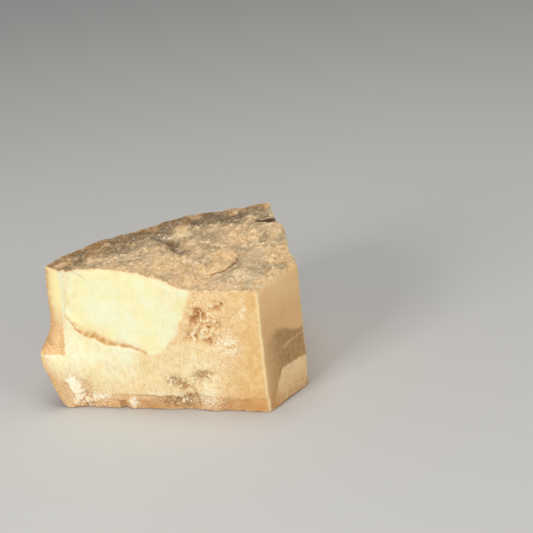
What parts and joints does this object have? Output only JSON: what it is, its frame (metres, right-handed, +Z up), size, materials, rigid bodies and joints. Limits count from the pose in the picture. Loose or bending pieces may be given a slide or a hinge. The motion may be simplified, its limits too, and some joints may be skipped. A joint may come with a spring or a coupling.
{
  "type": "parmesan chunk",
  "caption": "Large rough chunk of matured hard cheese: a sector of half a wheel with a split front, a crumbly top, a knife-cut facet and a rind on its round back.",
  "frame": {"origin": "centre of the bounding box's bottom face, on the surface that the chunk rests on", "axes": "+Z up; the split front faces -Y, the knife-cut facet faces mostly +X, and the rind wall curves round from -X to +Y"},
  "size_m": [0.2334, 0.2146, 0.1303],
  "materials": {
    "cheese": "matte"
  },
  "bodies": {
    "root": {"cheese_chunk": "cheese"}
  },
  "joints": []
}
